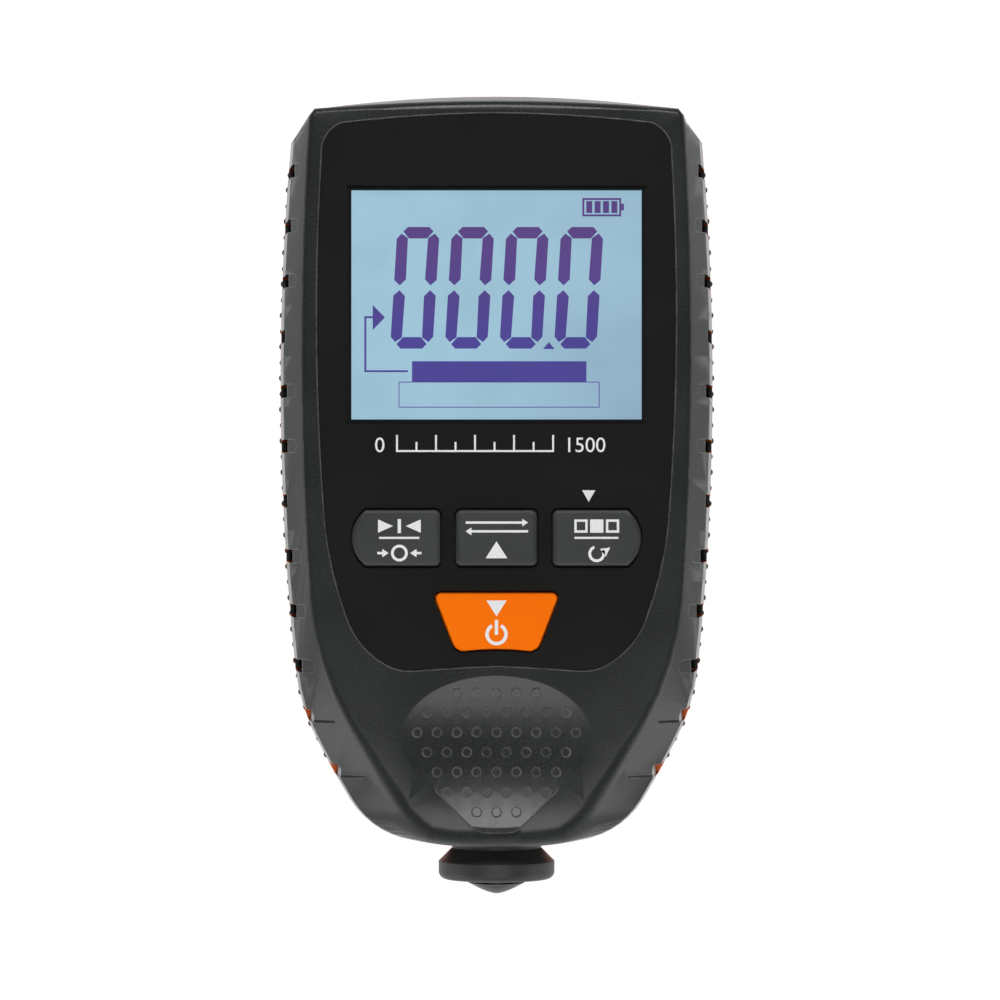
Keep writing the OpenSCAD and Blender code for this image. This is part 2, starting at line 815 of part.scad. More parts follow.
module lcd_glass() {
    color("#9ec4d8") block(-glass_w / 2, glass_w / 2, lcd_y - glass_h / 2, lcd_y + glass_h / 2,
        glass_z, ceiling_z);
}

module light_guide() {
    color("#e8eef0") block(-guide_w / 2, guide_w / 2, lcd_y - guide_h / 2, lcd_y + guide_h / 2,
        guide_z, glass_z);
}

// Holder that carries glass and light guide on the board
module lcd_frame() {
    color("#dcdcd6") difference() {
        block(-frame_hw, frame_hw, lcd_y - frame_hh, lcd_y + frame_hh, board_top, ceiling_z - loose);
        block(-glass_w / 2 - snug, glass_w / 2 + snug, lcd_y - glass_h / 2 - snug, lcd_y + glass_h / 2 + snug,
            glass_z, ceiling_z);
        block(-guide_w / 2 - snug, guide_w / 2 + snug, lcd_y - guide_h / 2 - snug, lcd_y + guide_h / 2 + snug,
            guide_z, ceiling_z);
        block(-strip_w / 2 - snug, strip_w / 2 + snug,
            strip_y - strip_t / 2 - snug, strip_y + strip_t / 2 + snug, board_top - past, ceiling_z);
    }
}

module contact_strip() {
    color("#e8b8c0") block(-strip_w / 2, strip_w / 2, strip_y - strip_t / 2, strip_y + strip_t / 2,
        board_top, glass_z);
}

// Board

module main_board() {
    color("#1f6b3a") translate([0, 0, board_z]) linear_extrude(board_t) difference() {
        polygon([
            [-board_hw, board_y1], [board_hw, board_y1], [board_hw, row_y - key_h],
            [board_hw - board_taper, board_y0], [board_taper - board_hw, board_y0], [-board_hw, row_y - key_h]
        ]);
        on_both_sides_2d() for (p = board_screw_xy) translate(p) circle(r = board_screw_r + slide);
    }
}

module on_both_sides_2d() {
    children();
    mirror([1, 0]) children();
}

module chip(x, y, w, h) {
    color("#18191a") block(x - w / 2, x + w / 2, y - h / 2, y + h / 2, board_z - chip_t, board_z);
}

module controller_chip() {
    chip(0, lcd_y, controller_w, controller_w);
}

// Beside the lower left board screw
module signal_chip() {
    x = board_screw_xy[1].x - board_head_r - chip_gap - signal_w / 2;
    chip(-x, power_y, signal_w, signal_l);
}

module board_screws() {
    color("#b8bcc0") on_both_sides() for (p = board_screw_xy) translate([p.x, p.y, board_z - board_head_h]) {
        cylinder(r = board_head_r, h = board_head_h);
        cylinder(r = board_screw_r, h = board_head_h + board_screw_l);
    }
}

// Keys and their switches

// A key with a rounded crown, a flange under the front wall and a stem on its switch
module key_body(shape, x, y) {
    levels = [
        [flange_top - bite, 0], [key_top - key_crown, 0],
        [key_top - 0.3 * key_crown, -0.3 * key_crown], [key_top, -key_crown]
    ];
    loft([for (level = levels) ring(shape, level[1], level[0])]);
    translate([0, 0, flange_top - flange_t]) linear_extrude(flange_t)
        polygon(grown(shape, key_gap + key_flange));
    translate([x, y, switch_top + plunger_up])
        cylinder(r = stem_r, h = flange_top - flange_t - switch_top - plunger_up + bite);
}

// Openings for all four keys
module key_openings() {
    for (shape = [zero_shape, unit_shape, mode_shape, power_shape]) polygon(grown(shape, key_gap));
}

module zero_key() {
    color("#424446") key_body(zero_shape, zero_x, row_y);
}

module unit_key() {
    color("#424446") key_body(unit_shape, 0, row_y);
}

module mode_key() {
    color("#424446") key_body(mode_shape, -zero_x, row_y);
}

module power_key() {
    color("#f8740a") key_body(power_shape, 0, power_y);
}

module switch_body(x, y) {
    color("#2a2b2c") translate([x, y, board_top]) difference() {
        block(-switch_w / 2, switch_w / 2, -switch_w / 2, switch_w / 2, 0, switch_h);
        translate([0, 0, switch_h - plunger_in - key_travel - loose])
            cylinder(r = plunger_r + slide, h = plunger_in + key_travel + loose + past);
    }
}

module plunger(x, y) {
    color("#d8d2c0") translate([x, y, switch_top - plunger_in])
        cylinder(r = plunger_r, h = plunger_in + plunger_up);
}

module zero_switch() { switch_body(zero_x, row_y); }
module unit_switch() { switch_body(0, row_y); }
module mode_switch() { switch_body(-zero_x, row_y); }
module power_switch() { switch_body(0, power_y); }
module zero_plunger() { plunger(zero_x, row_y); }
module unit_plunger() { plunger(0, row_y); }
module mode_plunger() { plunger(-zero_x, row_y); }
module power_plunger() { plunger(0, power_y); }

// Probe

module probe_guide() {
    color("#2c2e30") difference() {
        union() {
            along_probe(bush_r, bush_y0, bush_y1);
            along_probe(flange_r, flange_y0, flange_y0 + flange_w);
        }
        along_probe(neck_r + slide, bush_y0 - past, bush_y1 + past);
    }
}

module probe_collar() {
    round = 1.1;
    p = [collar_r - round, collar_y0];
    q = [collar_r, collar_y0 + round];
    color("#2a2b2b") turned(concat([[neck_bore, collar_y0]], arc_points(p, q, (sqrt(0.5) - 1) * round, 6), [
        q, [collar_r, band_y1], [neck_r, cone_y1],
        [neck_r, ring_y0 - snug], [groove_r, ring_y0 - snug],
        [groove_r, ring_y0 + ring_t + snug], [neck_r, ring_y0 + ring_t + snug],
        [neck_r, neck_y1], [neck_bore, neck_y1]
    ]));
}

// Tip with a thin flange and a blunt cone below it
module probe_tip() {
    blunt = 1.5;
    base = tip_r - slide;
    cone_h = tip_dome - 0.6;
    color("#b4b6b8") turned(concat(
        [for (i = [0 : 10]) [base * i / 10, tip_y + cone_h * pow(i / 10, blunt)]],
        [[tip_r, tip_y + cone_h], [tip_r, collar_y0 + plug_l], [0, collar_y0 + plug_l]]
    ));
}

module probe_core() {
    color("#4a4c50") along_probe(core_r, collar_y0 + plug_l, former_y1);
}

module coil_former() {
    hub = core_r + snug + former_wall;
    color("#d9c9a0") turned([
        [core_r + snug, former_y0], [tip_r, former_y0], [tip_r, former_y0 + former_flange],
        [hub, former_y0 + former_flange], [hub, former_y1 - former_flange],
        [tip_r, former_y1 - former_flange], [tip_r, former_y1], [core_r + snug, former_y1]
    ]);
}

module coil_winding() {
    hub = core_r + snug + former_wall;
    color("#b5651d") turned([
        [hub, former_y0 + former_flange], [winding_r, former_y0 + former_flange],
        [winding_r, former_y1 - former_flange], [hub, former_y1 - former_flange]
    ]);
}

module retaining_ring() {
    color("#9a9ca0") turned([
        [groove_r, ring_y0], [neck_r + 1.1, ring_y0],
        [neck_r + 1.1, ring_y0 + ring_t], [groove_r, ring_y0 + ring_t]
    ]);
}

// A round wire swept along a list of points, each ring square to the way there
module wire(points, r, sides = 8) {
    n = len(points);
    rings = [for (i = [0 : n - 1])
        let (
            way = points[min(i + 1, n - 1)] - points[max(i - 1, 0)],
            t = way / norm(way),
            ref = abs(t.z) < 0.9 ? [0, 0, 1] : [1, 0, 0],
            u = cross(t, ref) / norm(cross(t, ref)),
            v = cross(t, u)
        )
        for (k = [0 : sides - 1])
            points[i] + r * (u * cos(360 * k / sides) + v * sin(360 * k / sides))];
    faces = concat(
        [[for (k = [sides - 1 : -1 : 0]) k]],
        [for (i = [0 : n - 2], k = [0 : sides - 1])
            let (a = i * sides + k, b = i * sides + (k + 1) % sides)
            each [[a, b, b + sides], [a, b + sides, a + sides]]],
        [[for (k = [0 : sides - 1]) (n - 1) * sides + k]]
    );
    polyhedron(rings, faces);
}

// Points of a spring along +Y from y0 to y1, with its radius going from r0 to r1
function coil_points(x, z, y0, y1, r0, r1, turns, steps = 14) = [
    for (i = [0 : turns * steps])
        let (t = i / (turns * steps), a = 360 * i / steps, r = r0 + (r1 - r0) * t)
        [x + r * cos(a), y0 + (y1 - y0) * t, z + r * sin(a)]
];

module probe_spring() {
    mean_r = (neck_bore + neck_r) / 2;
    color("#a8abb0") wire(
        coil_points(0, rim_z, neck_y1 + wire_r + snug, seat_y - wire_r - snug, mean_r, mean_r, 5), wire_r, 6
    );
}

module probe_lead() {
    color("#c03028") wire(lead_points, lead_r);
}

// Battery

module cell(x, up) {
    low = up ? box_y1 - plate_t - cell_l : box_y0 + plate_t + cell_l;
    color(up ? "#3a4a5c" : "#5c3a3a") translate([x, low, cell_z]) rotate([up ? -90 : 90, 0, 0]) {
        cylinder(r = cell_r, h = cell_l - nub_l);
        cylinder(r = nub_r, h = cell_l);
    }
}

module left_cell() {
    cell(-cell_x, true);
}

module right_cell() {
    cell(cell_x, false);
}

module contact_spring(x, plate_y, cell_y) {
    way = sign(cell_y - plate_y);
    color("#b8babd") wire(coil_points(x, cell_z, plate_y + way * (contact_wire_r + snug),
        cell_y - way * (contact_wire_r + snug), cell_r - 1.6, nub_r, 4, 12), contact_wire_r, 6);
}

module left_spring() {
    contact_spring(-cell_x, box_y0 + plate_t, box_y1 - plate_t - cell_l);
}

module right_spring() {
    contact_spring(cell_x, box_y1 - plate_t, box_y0 + plate_t + cell_l);
}

// Sheet contacts against the ends of the battery box, with tails up to the board
module end_contact(x) {
    color("#c2c4c6") {
        block(x - contact_hw, x + contact_hw, box_y0, box_y0 + plate_t, cell_z - contact_hw, box_top - loose);
        block(x - tail_w / 2, x + tail_w / 2, box_y0, box_y0 + plate_t, cell_z, board_z - snug);
    }
}

module left_contact() {
    end_contact(-cell_x);
}

module right_contact() {
    end_contact(cell_x);
}

module bridge_contact() {
    color("#c2c4c6") block(-cell_x - contact_hw, cell_x + contact_hw, box_y1 - plate_t, box_y1,
        cell_z - contact_hw, box_top - loose);
}

// Door that slides off the top end, with grooves for the thumb
module battery_door() {
    color("#2c2d2e") difference() {
        intersection() {
            rear_outer();
            difference() {
                door_slot(0, door_y0, top_y + past);
                block(-half_w, half_w, low_y, top_y + past, -past, door_sunk);
            }
        }
        for (i = [0 : 4])
            translate([-door_hw / 2, door_y0 + 5 + 2 * i, door_sunk - 0.35]) rotate([0, 90, 0])
                cylinder(r = 0.8, h = door_hw);
    }
}

module case_screws() {
    color("#9ea1a4") on_both_sides() for (p = case_screw_xy) translate([p.x, p.y, head_z - head_h]) {
        cylinder(r = head_r, h = head_h);
        cylinder(r = screw_r, h = head_h + screw_l);
    }
}

front_cover();
rear_case();
left_grip();
right_grip();
front_panel();
display_lens();
lcd_glass();
light_guide();
lcd_frame();
contact_strip();
main_board();
controller_chip();
signal_chip();
board_screws();
zero_switch();
unit_switch();
mode_switch();
power_switch();
zero_plunger();
unit_plunger();
mode_plunger();
power_plunger();
zero_key();
unit_key();
mode_key();
power_key();
probe_guide();
probe_collar();
probe_tip();
probe_core();
coil_former();
coil_winding();
retaining_ring();
probe_spring();
probe_lead();
left_cell();
right_cell();
left_spring();
right_spring();
bridge_contact();
left_contact();
right_contact();
battery_door();
case_screws();
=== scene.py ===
import math

import bpy
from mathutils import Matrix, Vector


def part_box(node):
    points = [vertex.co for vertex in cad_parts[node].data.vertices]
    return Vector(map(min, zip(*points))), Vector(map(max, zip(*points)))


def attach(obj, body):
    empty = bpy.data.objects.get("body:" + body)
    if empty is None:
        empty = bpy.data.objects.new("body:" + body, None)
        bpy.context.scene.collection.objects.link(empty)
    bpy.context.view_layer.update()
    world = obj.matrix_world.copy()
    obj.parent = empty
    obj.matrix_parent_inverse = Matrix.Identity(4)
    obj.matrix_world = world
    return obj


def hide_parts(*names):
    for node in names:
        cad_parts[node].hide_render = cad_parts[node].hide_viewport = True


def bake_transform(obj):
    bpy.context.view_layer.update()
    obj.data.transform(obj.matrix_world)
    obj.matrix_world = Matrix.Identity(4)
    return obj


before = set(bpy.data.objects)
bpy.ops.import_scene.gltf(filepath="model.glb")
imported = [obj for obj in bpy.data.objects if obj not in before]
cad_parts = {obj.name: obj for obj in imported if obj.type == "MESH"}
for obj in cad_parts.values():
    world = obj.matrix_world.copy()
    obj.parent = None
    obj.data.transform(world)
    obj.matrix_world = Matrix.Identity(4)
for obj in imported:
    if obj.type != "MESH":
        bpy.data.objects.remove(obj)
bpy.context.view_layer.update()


# Rear case: the shell behind the rim, orange where the grip notches show it. It is injection moulded in ABS
# with a fine spark-eroded grain, and four screws from the back hold the front cover on it.

class Shade:
    """One socket of a material's nodes. Arithmetic on shades adds Math nodes."""

    def __init__(self, tree, socket=None):
        self.tree = tree
        self.socket = socket

    def node(self, kind, settings=None, sockets=None, out=0):
        """A node of that kind, its settings made before its sockets, as the shade of one of its outputs."""
        made = self.tree.nodes.new("ShaderNode" + kind)
        for name, value in (settings or {}).items():
            setattr(made, name, value)
        for name, value in (sockets or {}).items():
            if isinstance(value, Shade):
                self.tree.links.new(value.socket, made.inputs[name])
            else:
                made.inputs[name].default_value = value
        return Shade(self.tree, made.outputs[out] if made.outputs else None)

    def math(self, operation, *values):
        return self.node("Math", {"operation": operation}, dict(enumerate(values)))

    def __add__(self, other):
        return self.math("ADD", self, other)

    __radd__ = __add__

    def __sub__(self, other):
        return self.math("SUBTRACT", self, other)

    def __rsub__(self, other):
        return self.math("SUBTRACT", other, self)

    def __mul__(self, other):
        return self.math("MULTIPLY", self, other)

    __rmul__ = __mul__

    def __gt__(self, other):
        return self.math("GREATER_THAN", self, other)

    def __lt__(self, other):
        return self.math("LESS_THAN", self, other)

    def ramp(self, low, high, first=0.0, last=1.0):
        """Runs from first to last while this shade goes from low to high, and stays level outside."""
        span = {"Value": self, "From Min": low, "From Max": high, "To Min": first, "To Max": last}
        return self.node("MapRange", {"interpolation_type": "SMOOTHSTEP"}, span)

    def blend(self, below, above):
        """The colour below where this shade is 0 and above where it is 1."""
        return self.node("Mix", {"data_type": "RGBA"}, {0: self, 6: below, 7: above}, out=2)

    def noise(self, place, size, detail=2.0):
        """Noise with lumps of that size in metres."""
        return self.node("TexNoise", {}, {"Vector": place, "Scale": 1 / size, "Detail": detail})

    def surface(self, **sockets):
        """Ends the material in a Principled shader with these sockets."""
        named = {name.replace("_", " "): value for name, value in sockets.items()}
        shader = self.node("BsdfPrincipled", {}, named)
        self.node("OutputMaterial", {}, {"Surface": shader})


def new_finish(name):
    """A material with no nodes yet, and the shade and object place that its nodes start from."""
    material = bpy.data.materials.new(name)
    material.use_nodes = True
    material.node_tree.nodes.clear()
    start = Shade(material.node_tree)
    return material, start, start.node("TexCoord", out="Object")


def seen(red, green, blue):
    """A colour as a screen shows it, 0 to 255, in the linear values that shaders take."""
    linear = [((c / 255 + 0.055) / 1.055) ** 2.4 if c > 10 else c / 255 / 12.92 for c in (red, green, blue)]
    return (*linear, 1.0)


def moulded(name, tone, rubbed, rough, grain=0.22e-3, relief=0.004e-3, edge=0.25e-3, shine=0.5, edge_highlight=None):
    """Moulded plastic: eroded grain, faint clouds in colour and gloss, and soft edges that hands have rubbed
    lighter. Given an edge_highlight colour, every edge and crease is painted in it instead, as a painted
    highlight.
    """
    wear_patch = 3e-3
    cloud = 14e-3
    material, start, place = new_finish(name)
    softened = start.node("Bevel", {"samples": 4}, {"Radius": edge})
    sharp = start.node("NewGeometry", out="Normal")
    turn = 1 - start.node("VectorMath", {"operation": "DOT_PRODUCT"}, {0: softened, 1: sharp}, out="Value")
    edge_wear_and_highlight = turn.ramp(0.004, 0.08) * start.noise(place, wear_patch, 3.0).ramp(0.3, 0.7, 0.4, 1.0)
    clouds = start.noise(place, cloud, 4.0)
    grit = start.noise(place, grain)
    cloudy = (clouds.ramp(0.3, 0.7) * 0.35 + grit.ramp(0.3, 0.7) * 0.25).blend(tone, rubbed)
    # Edges and creases take the rubbed tone as wear, or the edge_highlight colour as a painted highlight.
    shade_of = (edge_wear_and_highlight * 0.7).blend(cloudy, edge_highlight or rubbed)
    bump = start.node("Bump", {}, {"Strength": 0.7, "Distance": relief, "Height": grit, "Normal": softened})
    roughness = rough + (clouds - 0.5) * 0.1 + (grit - 0.5) * 0.12 - edge_wear_and_highlight * 0.08
    start.surface(Base_Color=shade_of, Roughness=roughness, Normal=bump, Specular_IOR_Level=shine)
    return material


touching = 1e-6


def smooth_copy(node, body, material, crease=38, crisp=None, rows=()):
    """The node's solid with its facets merged and shaded smooth, which then stands for it. It moves with one
    body, or, given two bodies and two places instead, is only fixed where it lies. Edges whose two ends are both
    crisp stay sharp, and long facets are first cut at the given rows."""
    bpy.ops.object.select_all(action="DESELECT")
    skin = bpy.data.objects.new(node + "_skin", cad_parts[node].data.copy())
    bpy.context.scene.collection.objects.link(skin)
    skin.select_set(True)
    bpy.context.view_layer.objects.active = skin
    bpy.ops.mesh.customdata_custom_splitnormals_clear()
    bpy.ops.object.mode_set(mode="EDIT")
    bpy.ops.mesh.select_all(action="SELECT")
    bpy.ops.mesh.remove_doubles(threshold=touching)
    for row in rows:
        bpy.ops.mesh.select_all(action="SELECT")
        bpy.ops.mesh.bisect(plane_co=(0.0, row, 0.0), plane_no=(0.0, 1.0, 0.0))
    bpy.ops.mesh.select_all(action="SELECT")
    limit = math.radians(crease)
    bpy.ops.mesh.tris_convert_to_quads(face_threshold=limit, shape_threshold=limit)
    bpy.ops.object.mode_set(mode="OBJECT")
    bpy.ops.object.shade_smooth_by_angle(angle=limit)
    for edge in skin.data.edges if crisp else ():
        if all(crisp(skin.data.vertices[end].co) for end in edge.vertices):
            edge.use_edge_sharp = True
    weighted = skin.modifiers.new("weighted", "WEIGHTED_NORMAL")
    weighted.keep_sharp = True
    bpy.ops.object.modifier_apply(modifier=weighted.name)
    skin.data.materials.clear()
    skin.data.materials.append(material)
    if isinstance(body, str):
        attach(skin, body)
    else:
        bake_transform(skin)
    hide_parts(node)
    return skin


orange_shell = moulded("orange_shell", seen(236, 98, 6), seen(248, 124, 32), 0.46)
smooth_copy("rear_case", "case", orange_shell)


# Side grips: two soft strips on the long sides, with rows of pips that stand out past the case. They are
# black elastomer, moulded on the rear case, matt and a little dusty in the hollows.

grip_rubber = moulded("grip_rubber", seen(24, 25, 25), seen(44, 45, 45), 0.72, 0.15e-3, 0.006e-3, 0.15e-3)
for side in ("left", "right"):
    smooth_copy(side + "_grip", "case", grip_rubber)


# Battery bay: two AAA cells head to tail between sprung contacts. The springs are nickel-plated wire, the
# contacts punched strip with the rolling marks still in them, and the cells have a printed shrink sleeve.

def dress(node, material):
    """Gives a CAD node its finish."""
    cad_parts[node].material_slots[0].material = material


def metal(name, tone, dull, rough, size, squeeze=(1.0, 1.0, 1.0)):
    """Bare metal with drawing, rolling or turning marks: noise of that size, squeezed along the marks."""
    material, start, place = new_finish(name)
    along = start.node("VectorMath", {"operation": "MULTIPLY"}, {0: place, 1: squeeze})
    marks = start.noise(along, size, 3.0)
    stain = start.noise(place, 6e-3, 4.0).ramp(0.35, 0.7)
    bump = start.node("Bump", {}, {"Strength": 0.5, "Distance": 0.004e-3, "Height": marks})
    start.surface(
        Base_Color=stain.blend(tone, dull),
        Roughness=rough + (marks - 0.5) * 0.2 + stain * 0.08,
        Metallic=1.0,
        Normal=bump,
    )
    return material


def cell_sleeve(name, low, high):
    """A cell between two heights along Y: bare steel at its ends, a plain sleeve with one dark band between."""
    bare_low = 0.7e-3
    bare_high = 1.3e-3
    band_reach = 11e-3
    material, start, place = new_finish(name)
    along = start.node("SeparateXYZ", {}, {0: place}, out="Y")
    steel = (along < low + bare_low) + (along > high - bare_high)
    band = along > high - band_reach
    scuff = start.noise(place, 2e-3, 4.0)
    wrap = band.blend(seen(78, 98, 122), seen(38, 42, 48))
    sleeve = (scuff.ramp(0.45, 0.75) * 0.3).blend(wrap, seen(150, 156, 162))
    bump = start.node("Bump", {}, {"Strength": 0.3, "Distance": 0.01e-3, "Height": scuff})
    start.surface(
        Base_Color=steel.blend(sleeve, seen(196, 198, 200)),
        Roughness=0.28 + scuff * 0.15,
        Metallic=steel,
        Normal=bump,
    )
    return material


plated = metal("nickel_plate", seen(205, 203, 196), seen(168, 164, 154), 0.26, 0.4e-3, (1.0, 0.15, 0.15))
for piece in ("left_spring", "right_spring", "bridge_contact", "left_contact", "right_contact"):
    dress(piece, plated)
for cell in ("left_cell", "right_cell"):
    low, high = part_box(cell)
    dress(cell, cell_sleeve(cell + "_sleeve", low[1], high[1]))


# Main board: a two-layer glass-epoxy board with green solder resist over its tracks, two moulded chips below
# and four tactile switches above. Four steel screws hold it to the front cover.

tracks_per_m = 160.0
threads_per_m = 1800.0
board_finish, start, place = new_finish("solder_resist")
tracks = start.node(
    "TexBrick",
    {"offset": 0.37, "squash": 1.6},
    {"Vector": place, "Scale": tracks_per_m, "Mortar Size": 0.035, "Mortar Smooth": 0.1},
    out="Fac",
)
cloth = start.node("TexChecker", {}, {"Vector": place, "Scale": threads_per_m}, out="Fac")
resist = (tracks * 0.8 + cloth * 0.12).blend(seen(14, 74, 48), seen(40, 122, 78))
bump = start.node("Bump", {}, {"Strength": 0.5, "Distance": 0.03e-3, "Height": tracks})
start.surface(Base_Color=resist, Roughness=0.3 + start.noise(place, 2e-3) * 0.12, Normal=bump)
dress("main_board", board_finish)

chip_resin = moulded("chip_resin", seen(26, 26, 28), seen(52, 52, 54), 0.55, 0.12e-3)
switch_housing = moulded("switch_housing", seen(30, 31, 33), seen(60, 61, 63), 0.42, 0.15e-3)
plunger_nylon = moulded("plunger_nylon", seen(222, 214, 190), seen(236, 232, 214), 0.4, 0.15e-3)
for chip in ("controller_chip", "signal_chip"):
    dress(chip, chip_resin)
for key in ("zero", "unit", "mode", "power"):
    dress(key + "_switch", switch_housing)
    dress(key + "_plunger", plunger_nylon)

screw_steel = metal("screw_steel", seen(176, 178, 180), seen(120, 122, 124), 0.34, 0.25e-3, (1.0, 1.0, 0.2))
dress("board_screws", screw_steel)


# Display: a liquid crystal cell over an edge-lit acrylic guide, held to the board by a white frame and joined to
# it by a striped rubber strip. The glass glows pale blue, and its segments block the light in dark violet.

dots_per_m = 1600.0
guide_finish, start, place = new_finish("light_guide")
dots = start.node("TexVoronoi", {}, {"Vector": place, "Scale": dots_per_m}, out="Distance")
start.surface(
    Base_Color=dots.ramp(0.2, 0.5).blend(seen(252, 252, 252), seen(214, 226, 236)),
    Roughness=0.12 + dots * 0.2,
    Emission_Color=dots.ramp(0.2, 0.5).blend(seen(196, 226, 244), seen(166, 206, 232)),
    Emission_Strength=0.4,
)
dress("light_guide", guide_finish)
dress("lcd_frame", moulded("frame_nylon", seen(226, 226, 220), seen(240, 240, 236), 0.45))

stripe_pitch = 0.09e-3
stripe_gap = 0.05e-3
strip_finish, start, place = new_finish("striped_rubber")
along = start.node("SeparateXYZ", {}, {0: place}, out="X")
stripe = start.math("PINGPONG", along, stripe_pitch) > stripe_gap
start.surface(
    Base_Color=stripe.blend(seen(226, 150, 158), seen(44, 40, 44)),
    Roughness=0.6 + start.noise(place, 0.3e-3) * 0.2,
)
dress("contact_strip", strip_finish)

lcd_finish, start, place = new_finish("lit_crystal")
parts = {axis: start.node("SeparateXYZ", {}, {0: place}, out=axis) for axis in "XY"}
across = parts["X"].ramp(-8e-3, 22e-3) * (0.35 + parts["Y"].ramp(36e-3, 10e-3) * 0.65)
mottle = start.noise(place, 5e-3, 3.0) * 0.16
glow = (across + mottle - 0.08).blend(seen(161, 200, 221), seen(146, 180, 203))
start.surface(
    Base_Color=(across + mottle).blend(seen(30, 38, 42), seen(24, 32, 36)),
    Roughness=0.3 + start.noise(place, 0.4e-3) * 0.1,
    Emission_Color=glow,
    Emission_Strength=0.98,
)
dress("lcd_glass", lcd_finish)


print_depth = 0.02e-3


def cut_sheet(outline, low):
    """Printed film with that outline in millimetres, cut from a flat disc and raised to its thickness."""
    bpy.ops.object.select_all(action="DESELECT")
    bpy.ops.mesh.primitive_circle_add(vertices=len(outline), radius=1e-3, fill_type="NGON")
    sheet = bpy.context.object
    for corner, (x, y) in zip(sheet.data.vertices, outline):
        corner.co = (x * 1e-3, y * 1e-3, low)
    bpy.ops.object.mode_set(mode="EDIT")
    bpy.ops.mesh.select_all(action="SELECT")
    bpy.ops.mesh.extrude_region_move(TRANSFORM_OT_translate={"value": (0, 0, print_depth)})
    bpy.ops.mesh.select_all(action="SELECT")
    bpy.ops.mesh.normals_make_consistent(inside=False)
    bpy.ops.object.mode_set(mode="OBJECT")
    return sheet


def printed(name, outlines, low, body, material, others=()):
    """One piece of several flat marks on a face at that height, with any other marks already made."""
    marks = [cut_sheet(outline, low) for outline in outlines] + list(others)
    bpy.ops.object.select_all(action="DESELECT")
    for mark in marks:
        mark.select_set(True)
    bpy.context.view_layer.objects.active = marks[0]
    bpy.ops.object.join()
    piece = bpy.context.object
    piece.name = name
    piece.data.materials.clear()
    piece.data.materials.append(material)
    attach(piece, body)
    return piece


def bar(x0, x1, y0, y1):
    """The outline of an upright bar."""
    return [(x0, y0), (x1, y0), (x1, y1), (x0, y1)]


def hollow_bar(x0, x1, y0, y1, line):
    """The four bars of a frame whose line lies inside that bar."""
    return [
        bar(x0, x1, y0, y0 + line),
        bar(x0, x1, y1 - line, y1),
        bar(x0, x0 + line, y0 + line, y1 - line),
        bar(x1 - line, x1, y0 + line, y1 - line),
    ]


segment_finish, start, place = new_finish("dark_segment")
height = start.node("SeparateXYZ", {}, {0: place}, out="Y")
edge_tint = start.noise(place, 0.5e-3) * 0.25
violet = (height.ramp(20e-3, 38e-3) + edge_tint - 0.12).blend(seen(73, 63, 160), seen(92, 62, 142))
start.surface(
    Base_Color=edge_tint.blend(seen(14, 12, 24), seen(20, 18, 34)),
    Roughness=0.35,
    Emission_Color=violet,
    Emission_Strength=0.85,
)

digit_w = 6.09
digit_h = 17.44
digit_left = -15.27
digit_low = 20.98
digit_pitch = 7.83
digit_lean = 0.061
upright_segment = [(0.65, 16.5), (1.6, 15.85), (1.68, 9.92), (0.85, 9.07), (0, 9.83), (0, 15.74)]
level_segment = [(1.5, 17.44), (4.59, 17.44), (5.21, 16.8), (4.34, 15.79), (1.75, 15.79), (0.88, 16.8)]
segments = []
for over in (False, True):
    for across in (False, True):
        segments.append([(digit_w - x if across else x, digit_h - y if over else y) for x, y in upright_segment])
    segments.append([(x, digit_h - y if over else y) for x, y in level_segment])
leaning = [[(digit_left + x + digit_lean * y, digit_low + y) for x, y in outline] for outline in segments]
lcd_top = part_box("lcd_glass")[1][2]
first_digit = printed("lcd_digit_1", leaning, lcd_top, "case", segment_finish)
for place_number in (1, 2, 3):
    digit = bpy.data.objects.new(f"lcd_digit_{place_number + 1}", first_digit.data.copy())
    bpy.context.scene.collection.objects.link(digit)
    bpy.ops.object.select_all(action="DESELECT")
    digit.select_set(True)
    bpy.context.view_layer.objects.active = digit
    bpy.ops.transform.translate(value=(place_number * digit_pitch * 1e-3, 0, 0))
    bpy.ops.object.transform_apply(location=True, rotation=False, scale=False)
    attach(digit, "case")

icon_line = 0.28
charge_pitch = 1.2
level_icon = hollow_bar(12.31, 17.88, 39.94, 42.57, icon_line) + [bar(17.88, 18.28, 40.8, 41.75)]
for charge in range(4):
    step = charge_pitch * charge
    level_icon.append(bar(12.87 + step, 13.73 + step, 40.42, 42.14))
printed("lcd_level_icon", level_icon, lcd_top, "case", segment_finish)
pointer = [
    [(-17.75, 27.24), (-17.75, 23.64), (-16.0, 25.45)],
    bar(-18.95, -17.75, 25.35, 25.63),
    bar(-18.95, -18.67, 17.6, 25.35),
    bar(-18.67, -12.7, 17.6, 17.88),
]
printed("lcd_pointer", pointer, lcd_top, "case", segment_finish)
decimal_point = [(6.66, 20.92), (8.34, 20.92), (7.5, 21.92)]
message_bar = [bar(-12.12, 12.9, 16.24, 19.17), decimal_point]
printed("lcd_message_bar", message_bar, lcd_top, "case", segment_finish)
box_line = 0.12
message_box = hollow_bar(-14.04, 14.78, 12.52, 16.24, box_line)
printed("lcd_message_box", message_box, lcd_top, "case", segment_finish)


# Probe: a turned steel tip in a moulded collar that slides in a guide bush against a spring. Inside it a coil
# of enamelled copper is wound on a former round an iron core, and a red lead runs from it to the board.

